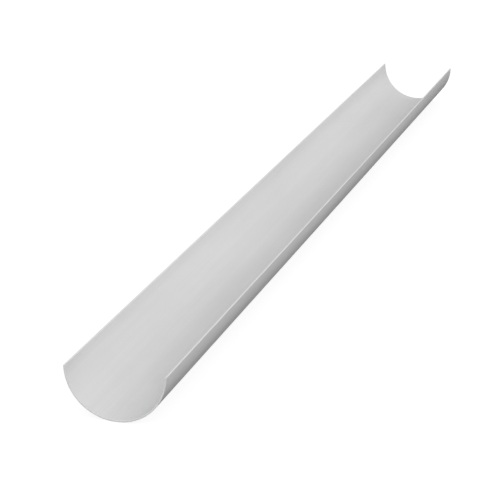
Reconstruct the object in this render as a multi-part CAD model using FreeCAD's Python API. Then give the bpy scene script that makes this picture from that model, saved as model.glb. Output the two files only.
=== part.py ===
import FreeCAD, Part
import math
import os

# Half-round gutter section: one plain length of extruded channel, cut square at both ends.
# It lies on its back, open side up. X runs across it, Y along it and Z up. The origin is
# under the middle of the length, on the lowest line of the outside.

# Driving dimensions, in millimetres and degrees.
length = 1500.0
outer_diameter = 125.0
wall = 2.0
wrap_angle = 180.0
rim_edge_radius = 0.4

outer_radius = outer_diameter / 2
inner_radius = outer_radius - wall
rim_angle = wrap_angle / 2

# The two rounded edges of a rim share the wall, so neither may take half of it.
largest_rim_edge = 0.45 * wall

across = FreeCAD.Vector(1, 0, 0)
along = FreeCAD.Vector(0, 1, 0)
up = FreeCAD.Vector(0, 0, 1)
axis_near_end = up * outer_radius - along * (length / 2)


def section_point(radius, angle):
    """A point of the near end's section, at an angle in degrees from straight down towards +X."""
    turn = math.radians(angle)
    return axis_near_end + across * (radius * math.sin(turn)) - up * (radius * math.cos(turn))


def wall_arc(radius):
    """One side of the wall, inner or outer, from the -X rim round the bottom to the +X rim."""
    return Part.Arc(*(section_point(radius, angle) for angle in (-rim_angle, 0, rim_angle))).toShape()


def rim_flat(angle):
    """The flat of one rim, which stands square to the wall."""
    return Part.LineSegment(section_point(inner_radius, angle), section_point(outer_radius, angle)).toShape()


def wall_section():
    """The face that the die draws along the length."""
    outline = [wall_arc(outer_radius), rim_flat(rim_angle), wall_arc(inner_radius), rim_flat(-rim_angle)]
    return Part.Face(Part.Wire(Part.__sortEdges__(outline)))


def rim_edges(channel):
    """The four straight edges that run along the two rims."""
    straight = [edge for edge in channel.Edges if isinstance(edge.Curve, Part.Line)]
    return [edge for edge in straight if abs(edge.tangentAt(0).dot(along)) > 0.5]


def gutter_section():
    """The drawn wall, with its rim edges rounded as they leave the die."""
    channel = wall_section().extrude(along * length)
    return channel.makeFillet(min(rim_edge_radius, largest_rim_edge), rim_edges(channel))


os.makedirs("parts", exist_ok=True)
gutter_section().exportStep("parts/gutter_section.step")
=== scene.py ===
"""Half-round gutter section: one length of light grey plastic channel, on its back on a pale floor.

The wall is swept from one rim to the other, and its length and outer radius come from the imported
frame. Lengths are in metres: X runs across the gutter, Y along it and Z up, with its lowest line at
Z = 0.
"""

import math

import bmesh
import bpy
from mathutils import Matrix, Vector


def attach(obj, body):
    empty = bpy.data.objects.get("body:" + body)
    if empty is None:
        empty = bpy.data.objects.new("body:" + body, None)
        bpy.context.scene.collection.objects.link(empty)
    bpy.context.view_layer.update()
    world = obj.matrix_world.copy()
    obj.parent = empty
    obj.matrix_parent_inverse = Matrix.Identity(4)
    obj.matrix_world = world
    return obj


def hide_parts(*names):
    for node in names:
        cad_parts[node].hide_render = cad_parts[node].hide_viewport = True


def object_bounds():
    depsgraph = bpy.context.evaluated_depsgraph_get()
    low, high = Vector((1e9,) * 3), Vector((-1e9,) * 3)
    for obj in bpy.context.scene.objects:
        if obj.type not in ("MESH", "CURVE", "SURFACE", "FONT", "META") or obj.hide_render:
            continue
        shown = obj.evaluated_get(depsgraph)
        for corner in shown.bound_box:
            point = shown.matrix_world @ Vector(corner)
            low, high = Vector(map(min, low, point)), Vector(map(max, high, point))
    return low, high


MM = 0.001

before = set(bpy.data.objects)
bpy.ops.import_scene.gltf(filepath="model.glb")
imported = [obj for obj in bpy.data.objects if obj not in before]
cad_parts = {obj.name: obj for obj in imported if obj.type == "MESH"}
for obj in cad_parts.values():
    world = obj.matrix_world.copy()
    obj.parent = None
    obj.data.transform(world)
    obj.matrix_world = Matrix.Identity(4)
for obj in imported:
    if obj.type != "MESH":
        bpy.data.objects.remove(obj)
cad_low, cad_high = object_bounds()

# The section, a half circle whose axis is level with the rims. The frame gives its length and radius.
LENGTH = cad_high.y - cad_low.y
OUTER_RADIUS = cad_high.z
WALL = 2.0 * MM

# How finely the wall is divided, and how its edges are broken.
WALL_STEPS = 144
LENGTH_STEPS = 30
RIM_EDGE_RADIUS = 0.4 * MM
RIM_EDGE_STEPS = 4
SAW_EDGE = 0.3 * MM

# Edges that turn by more than the first are corners, and those that turn by more than the second stay
# crisp. A face is sawn where more than the last part of its normal is along Y.
CORNER_TURN = math.radians(45)
CRISP_TURN = math.radians(30)
SAWN_FACING = 0.5

# The camera, in degrees round the gutter's middle, with its lens in millimetres and its aim to the left
# of the middle and below it.
CAMERA_AZIMUTH = 17.92
CAMERA_ELEVATION = 19.48
CAMERA_DISTANCE = 44.776 * OUTER_RADIUS
CAMERA_LENS = 135.7
CAMERA_SENSOR = 36.0
AIM_RIGHT = -1.2406 * OUTER_RADIUS
AIM_DOWN = 1.6155 * OUTER_RADIUS

# The floor: how pale it is where it is seen and to other light, how much it glows where it is seen,
# and how far it goes each way.
FLOOR_WHITENESS = 0.2
FLOOR_BOUNCE = 0.02
FLOOR_GLOW = 0.86
FLOOR_REACH = 30.0

# How strongly the white studio lights the gutter, where 1 is white.
STUDIO_LIGHT = 0.8

# The plastic: its greys, from dark to pale, its roughness and how little it shines. It is a little
# duller where it is sawn than on the skin.
SKIN_GREYS = (0.575, 0.665)
SAWN_GREYS = (0.58, 0.66)
SKIN_ROUGHNESS = 0.82
SAWN_ROUGHNESS = 0.84
PLASTIC_SHINE = 0.07

# Noise runs from 0 to 1 about this.
MIDDLE = 0.5

# The skin: how far across its features are, and how the draw stretches them along Y.
CLOUD_SIZE = 70 * MM
BAND_SIZE = 9 * MM
DIE_LINE_SIZE = 1.2 * MM
GRAIN_SIZE = 0.8 * MM
CLOUD_DRAW = (1.0, 0.25, 1.0)
DIE_DRAW = (1.0, 0.006, 1.0)

# How much they change the skin's shade and its roughness.
CLOUD_SHADE = 0.9
BAND_SHADE = 0.5
DIE_LINE_SHADE = 0.6
CLOUD_DULLNESS = 0.16
DIE_LINE_DULLNESS = 0.2

# The skin's relief: how high it is, and how much of it each feature makes.
SKIN_RELIEF = 0.06 * MM
DIE_LINE_RELIEF = 0.8
BAND_RELIEF = 0.5
GRAIN_RELIEF = 0.15

# How far below the rims other lengths have rubbed the skin, which part of the noise is a rubbed patch,
# and how much paler and smoother a patch is.
RUBBED_DEPTH = 5 * MM
RUB_SIZE = 4 * MM
RUB_FROM = 0.45
RUB_FULL = 0.7
RUB_PALENESS = 0.3
RUB_POLISH = 0.1

# The saw that cut the ends: scales that flatten a place onto the section's plane, where the blade
# turned in that plane, how far apart its marks are, and how far they stray, in radians of their wave.
SECTION_PLANE = (1.0, 0.0, 1.0)
BLADE_CENTRE = (0.11, 0.0, 0.19)
SAW_MARK_SPACING = 0.7 * MM
SAW_WAVER = 9.0
SAW_WAVER_SIZE = 6 * MM

# The crumbly cut: how far across the crumbs are, how much they change the roughness, what share the
# saw's marks have of the shade and the relief beside them, and how high the relief is.
CRUMB_SIZE = 0.35 * MM
CRUMB_DULLNESS = 0.2
SAW_MARK_SHARE = 0.45
SAWN_RELIEF = 0.05 * MM


# ---- Shader maths -------------------------------------------------------------------------------


class Value:
    """A number or colour that varies over a surface: a shader node's output, with arithmetic on it."""

    def __init__(self, nodes, socket):
        self.nodes = nodes
        self.socket = socket

    def _math(self, operation, *operands):
        return self.nodes.add("ShaderNodeMath", {"operation": operation}, dict(enumerate(operands)))

    def __add__(self, other):
        return self._math("ADD", self, other)

    def __radd__(self, other):
        return self._math("ADD", other, self)

    def __sub__(self, other):
        return self._math("SUBTRACT", self, other)

    def __rsub__(self, other):
        return self._math("SUBTRACT", other, self)

    def __mul__(self, other):
        return self._math("MULTIPLY", self, other)

    def __rmul__(self, other):
        return self._math("MULTIPLY", other, self)

    def wave(self):
        """A sine wave that runs from 0 to 1."""
        return self._math("SINE", self) * 0.5 + 0.5


class Nodes:
    """The node tree of a material or of the world."""

    def __init__(self, owner):
        owner.use_nodes = True
        self.owner = owner
        self.tree = owner.node_tree
        self.tree.nodes.clear()

    def add(self, kind, settings=None, inputs=None, output=0):
        """One node: its settings first, then its sockets' values or links. Returns one of its outputs."""
        node = self.tree.nodes.new(kind)
        for name, setting in (settings or {}).items():
            setattr(node, name, setting)
        for name, given in (inputs or {}).items():
            if isinstance(given, Value):
                self.tree.links.new(given.socket, node.inputs[name])
            else:
                node.inputs[name].default_value = given
        return Value(self, node.outputs[output]) if node.outputs else None

    def place(self):
        """Where a point of the surface lies on the piece, in metres."""
        return self.add("ShaderNodeTexCoord", output="Object")

    def stretched(self, place, scale):
        return self.add("ShaderNodeMapping", inputs={"Vector": place, "Scale": scale})

    def noise(self, place, size, detail=2.0, roughness=0.5):
        """Soft noise from 0 to 1, about 0.5, whose largest features are about size across."""
        sockets = {"Vector": place, "Scale": 1 / size, "Detail": detail, "Roughness": roughness}
        return self.add("ShaderNodeTexNoise", inputs=sockets)

    def between(self, greys, factor):
        """A colour between two greys: the first where the factor is 0, the second where it is 1."""
        first, second = greys
        sockets = {0: factor, 6: grey(first), 7: grey(second)}
        return self.add("ShaderNodeMix", {"data_type": "RGBA"}, sockets, output=2)

    def bump(self, height, distance):
        return self.add("ShaderNodeBump", inputs={"Height": height, "Strength": 1.0, "Distance": distance})

    def surface(self, kind, inputs):
        """The material's last shader, joined to its output."""
        self.add("ShaderNodeOutputMaterial", inputs={"Surface": self.add(kind, inputs=inputs)})

    def seen_directly(self):
        """1 for what the camera sees, by itself or in a mirror or through glass, and 0 for other light."""
        straight = self.add("ShaderNodeLightPath", output="Is Camera Ray")
        mirrored = self.add("ShaderNodeLightPath", output="Is Glossy Ray")
        passed = self.add("ShaderNodeLightPath", output="Is Transmission Ray")
        return straight + mirrored + passed


def grey(level):
    return (level, level, level, 1.0)


def new_material(name):
    return Nodes(bpy.data.materials.new(name))


# ---- Materials ----------------------------------------------------------------------------------


def extruded_plastic():
    """Matte light grey plastic as it leaves the die: clouded, and drawn into fine lines along Y."""
    nodes = new_material("extruded_plastic")
    place = nodes.place()
    clouds = nodes.noise(nodes.stretched(place, CLOUD_DRAW), CLOUD_SIZE, detail=3.0)
    bands = nodes.noise(nodes.stretched(place, DIE_DRAW), BAND_SIZE)
    lines = nodes.noise(nodes.stretched(place, DIE_DRAW), DIE_LINE_SIZE, detail=4.0, roughness=0.6)
    grain = nodes.noise(place, GRAIN_SIZE)
    rubbed = rim_rubbing(nodes, place)
    shade = (
        MIDDLE
        + (clouds - MIDDLE) * CLOUD_SHADE
        + (bands - MIDDLE) * BAND_SHADE
        + (lines - MIDDLE) * DIE_LINE_SHADE
        + rubbed * RUB_PALENESS
    )
    roughness = (
        SKIN_ROUGHNESS
        + (clouds - MIDDLE) * CLOUD_DULLNESS
        + (lines - MIDDLE) * DIE_LINE_DULLNESS
        - rubbed * RUB_POLISH
    )
    relief = lines * DIE_LINE_RELIEF + bands * BAND_RELIEF + grain * GRAIN_RELIEF
    nodes.surface("ShaderNodeBsdfPrincipled", {
        "Base Color": nodes.between(SKIN_GREYS, shade),
        "Roughness": roughness,
        "Specular IOR Level": PLASTIC_SHINE,
        "Normal": nodes.bump(relief, SKIN_RELIEF),
    })
    return nodes.owner


def rim_rubbing(nodes, place):
    """Patches rubbed pale along the rims, from 0 to 1."""
    height = nodes.add("ShaderNodeSeparateXYZ", inputs={"Vector": place}, output="Z")
    reach = {"Value": height, "From Min": OUTER_RADIUS - RUBBED_DEPTH, "From Max": OUTER_RADIUS}
    near_rim = nodes.add("ShaderNodeMapRange", inputs=reach)
    scuffs = nodes.noise(nodes.stretched(place, CLOUD_DRAW), RUB_SIZE, detail=4.0, roughness=0.65)
    rubbed = {"Value": scuffs, "From Min": RUB_FROM, "From Max": RUB_FULL}
    patches = nodes.add("ShaderNodeMapRange", inputs=rubbed)
    return near_rim * patches


def sawn_plastic():
    """The cut ends: duller than the skin, with the fine arcs that the saw's teeth left."""
    nodes = new_material("sawn_plastic")
    place = nodes.place()
    section = nodes.stretched(place, SECTION_PLANE)
    spokes = {0: section, 1: BLADE_CENTRE}
    reach = nodes.add("ShaderNodeVectorMath", {"operation": "DISTANCE"}, spokes, output="Value")
    waver = nodes.noise(section, SAW_WAVER_SIZE)
    arcs = (reach * (2 * math.pi / SAW_MARK_SPACING) + waver * SAW_WAVER).wave()
    crumbs = nodes.noise(place, CRUMB_SIZE, detail=3.0, roughness=0.6)
    shade = arcs * SAW_MARK_SHARE + crumbs * (1 - SAW_MARK_SHARE)
    nodes.surface("ShaderNodeBsdfPrincipled", {
        "Base Color": nodes.between(SAWN_GREYS, shade),
        "Roughness": SAWN_ROUGHNESS + (crumbs - MIDDLE) * CRUMB_DULLNESS,
        "Specular IOR Level": PLASTIC_SHINE,
        "Normal": nodes.bump(shade, SAWN_RELIEF),
    })
    return nodes.owner


def floor_surface():
    """A matte floor that looks white, keeps the gutter's shadow and sends little light back up."""
    nodes = new_material("floor_surface")
    seen = nodes.seen_directly()
    paint = nodes.between((FLOOR_BOUNCE, FLOOR_WHITENESS), seen)
    matte = nodes.add("ShaderNodeBsdfDiffuse", inputs={"Color": paint})
    glow = nodes.add("ShaderNodeEmission", inputs={"Strength": seen * FLOOR_GLOW})
    nodes.surface("ShaderNodeAddShader", {0: matte, 1: glow})
    return nodes.owner


# ---- The gutter ---------------------------------------------------------------------------------


def runs_along(edge):
    """Whether an edge lies along the gutter."""
    start, end = (vert.co for vert in edge.verts)
    return abs(start.y - end.y) > abs(start.x - end.x) + abs(start.z - end.z)


def break_edges(bm, edges, offset, segments):
    """Rounds edges off, or cuts them off flat where there is one segment."""
    bmesh.ops.bevel(
        bm, geom=edges, offset=offset, segments=segments,
        profile=0.5, affect="EDGES", material=-1,
    )


def gutter_mesh():
    """The wall: one rim's flat, swept round the axis to the other rim. Material 1 is where it is sawn."""
    bm = bmesh.new()
    rim_centre = Vector((OUTER_RADIUS - WALL / 2, 0.0, OUTER_RADIUS))
    flat = Matrix.Translation(rim_centre) @ Matrix.Diagonal((WALL, LENGTH, 1.0, 1.0))
    bmesh.ops.create_grid(bm, x_segments=1, y_segments=LENGTH_STEPS, size=0.5, matrix=flat)
    bmesh.ops.spin(
        bm, geom=bm.verts[:] + bm.edges[:] + bm.faces[:],
        cent=(0.0, 0.0, OUTER_RADIUS), axis=(0.0, 1.0, 0.0),
        angle=math.pi, steps=WALL_STEPS, use_merge=False,
    )
    bmesh.ops.recalc_face_normals(bm, faces=bm.faces)
    rims = [edge for edge in bm.edges if runs_along(edge) and edge.calc_face_angle() > CORNER_TURN]
    break_edges(bm, rims, RIM_EDGE_RADIUS, RIM_EDGE_STEPS)
    ends = [edge for edge in bm.edges if edge.calc_face_angle() > CORNER_TURN]
    break_edges(bm, ends, SAW_EDGE, 1)
    for face in bm.faces:
        sawn = abs(face.normal.y) > SAWN_FACING
        face.smooth = not sawn
        face.material_index = int(sawn)
    for edge in bm.edges:
        edge.smooth = edge.calc_face_angle() < CRISP_TURN
    mesh = bpy.data.meshes.new("gutter_wall")
    bm.to_mesh(mesh)
    bm.free()
    return mesh


def make_gutter():
    gutter = bpy.data.objects.new("gutter_wall", gutter_mesh())
    bpy.context.collection.objects.link(gutter)
    gutter.data.materials.append(extruded_plastic())
    gutter.data.materials.append(sawn_plastic())
    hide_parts("gutter_section")
    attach(gutter, "root")


# ---- The stage ----------------------------------------------------------------------------------


def make_floor():
    bm = bmesh.new()
    bmesh.ops.create_grid(bm, x_segments=1, y_segments=1, size=FLOOR_REACH)
    mesh = bpy.data.meshes.new("floor")
    bm.to_mesh(mesh)
    bm.free()
    floor = bpy.data.objects.new("floor", mesh)
    bpy.context.collection.objects.link(floor)
    mesh.materials.append(floor_surface())


def make_world():
    """A studio that looks white all round, and lights the gutter a little less than it looks."""
    world = bpy.data.worlds.new("studio")
    bpy.context.scene.world = world
    nodes = Nodes(world)
    strength = STUDIO_LIGHT + nodes.seen_directly() * (1 - STUDIO_LIGHT)
    sky = nodes.add("ShaderNodeBackground", inputs={"Color": grey(1.0), "Strength": strength})
    nodes.add("ShaderNodeOutputWorld", inputs={"Surface": sky})


def make_softbox(name, azimuth, elevation, distance, size, power):
    """A square area lamp round the middle of the gutter, facing it."""
    lamp = bpy.data.lights.new(name, "AREA")
    lamp.shape = "SQUARE"
    lamp.size = size
    lamp.energy = power
    softbox = bpy.data.objects.new(name, lamp)
    bpy.context.collection.objects.link(softbox)
    away = direction(azimuth, elevation)
    softbox.location = Vector((0.0, 0.0, OUTER_RADIUS)) + away * distance
    softbox.rotation_euler = away.to_track_quat("Z", "Y").to_euler()


def direction(azimuth, elevation):
    """From the gutter outwards: azimuth 0 is -Y, 90 is +X; elevation is above level."""
    turn = math.radians(azimuth)
    lift = math.radians(elevation)
    return Vector((math.sin(turn) * math.cos(lift), -math.cos(turn) * math.cos(lift), math.sin(lift)))


def make_camera():
    camera = bpy.data.objects.new("camera", bpy.data.cameras.new("camera"))
    bpy.context.collection.objects.link(camera)
    camera.data.lens = CAMERA_LENS
    camera.data.sensor_width = CAMERA_SENSOR
    back = direction(CAMERA_AZIMUTH, CAMERA_ELEVATION)
    turned = back.to_track_quat("Z", "Y").to_matrix()
    aim = Vector((0.0, 0.0, OUTER_RADIUS)) + turned @ Vector((AIM_RIGHT, -AIM_DOWN, 0.0))
    camera.matrix_world = Matrix.Translation(aim + back * CAMERA_DISTANCE) @ turned.to_4x4()
    bpy.context.scene.camera = camera


make_gutter()
make_floor()
make_world()
make_softbox("side_softbox", azimuth=100.0, elevation=30.0, distance=4.0, size=2.5, power=34.8)
make_softbox("front_softbox", azimuth=20.0, elevation=20.0, distance=10.0, size=3.0, power=453.0)
make_softbox("left_softbox", azimuth=-20.0, elevation=30.0, distance=10.0, size=3.0, power=84.0)
make_camera()
bpy.context.scene.view_settings.view_transform = "Standard"
